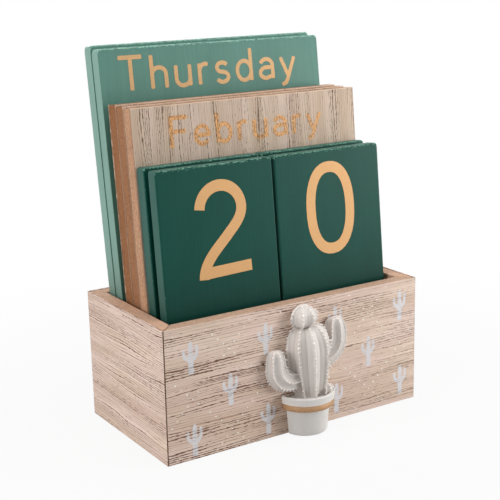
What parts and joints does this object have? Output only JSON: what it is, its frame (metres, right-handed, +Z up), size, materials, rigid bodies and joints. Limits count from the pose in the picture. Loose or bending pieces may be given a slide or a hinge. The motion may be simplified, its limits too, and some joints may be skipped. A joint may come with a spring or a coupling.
{
  "type": "perpetual desk calendar",
  "caption": "Open wooden box with a cast cactus on its front, holding leaning cards for weekday, month and date that lift out and are turned by hand.",
  "frame": {"origin": "middle of the box's underside, on the surface that it stands on", "axes": "+Z up, -Y the front with the cactus, +X to the right as seen from the front; the box is wider along X than deep along Y"},
  "size_m": [0.14, 0.095, 0.1771],
  "materials": {
    "board": "bare sawn MDF, matte",
    "box_veneer": "open-pored veneer, washed and matte, with small white prints on the front",
    "sage_paint": "sage green paint, matte, lighter along worn edges, with gold lettering",
    "dark_green_paint": "dark green paint, low sheen, with gold numerals",
    "month_core": "bare MDF edge, matte",
    "month_veneer": "open-pored veneer, matte, with gold lettering",
    "cast_resin": "off-white cast resin, matte, with a gold painted band"
  },
  "bodies": {
    "box": {"base_panel": "board", "front_board": "board", "back_board": "board", "left_board": "board", "right_board": "board", "front_veneer": "box_veneer", "back_veneer": "box_veneer", "left_veneer": "box_veneer", "right_veneer": "box_veneer", "cactus_relief": "cast_resin"},
    "weekday_front": {"weekday_card_front": "sage_paint"},
    "weekday_rear": {"weekday_card_rear": "sage_paint"},
    "month_front": {"month_card_front_core": "month_core", "month_card_front_front_veneer": "month_veneer", "month_card_front_back_veneer": "month_veneer"},
    "month_middle": {"month_card_middle_core": "month_core", "month_card_middle_front_veneer": "month_veneer", "month_card_middle_back_veneer": "month_veneer"},
    "month_rear": {"month_card_rear_core": "month_core", "month_card_rear_front_veneer": "month_veneer", "month_card_rear_back_veneer": "month_veneer"},
    "number_front_left": {"number_card_front_left": "dark_green_paint"},
    "number_front_right": {"number_card_front_right": "dark_green_paint"},
    "number_rear_left": {"number_card_rear_left": "dark_green_paint"},
    "number_rear_right": {"number_card_rear_right": "dark_green_paint"}
  },
  "joints": [
    {"name": "weekday_front_lift", "type": "slide", "parent": "box", "child": "weekday_front", "axis": [0, 0.1149, 0.9934], "range_m": [0, 0.175]},
    {"name": "weekday_rear_lift", "type": "slide", "parent": "box", "child": "weekday_rear", "axis": [0, 0.1149, 0.9934], "range_m": [0, 0.176]},
    {"name": "month_front_lift", "type": "slide", "parent": "box", "child": "month_front", "axis": [0, 0.0941, 0.9956], "range_m": [0, 0.15]},
    {"name": "month_middle_lift", "type": "slide", "parent": "box", "child": "month_middle", "axis": [0, 0.0941, 0.9956], "range_m": [0, 0.15]},
    {"name": "month_rear_lift", "type": "slide", "parent": "box", "child": "month_rear", "axis": [0, 0.0941, 0.9956], "range_m": [0, 0.15]},
    {"name": "number_front_left_lift", "type": "slide", "parent": "box", "child": "number_front_left", "axis": [0, 0.0941, 0.9956], "range_m": [0, 0.125]},
    {"name": "number_front_right_lift", "type": "slide", "parent": "box", "child": "number_front_right", "axis": [0, 0.0941, 0.9956], "range_m": [0, 0.125]},
    {"name": "number_rear_left_lift", "type": "slide", "parent": "box", "child": "number_rear_left", "axis": [0, 0.0941, 0.9956], "range_m": [0, 0.125]},
    {"name": "number_rear_right_lift", "type": "slide", "parent": "box", "child": "number_rear_right", "axis": [0, 0.0941, 0.9956], "range_m": [0, 0.125]}
  ]
}
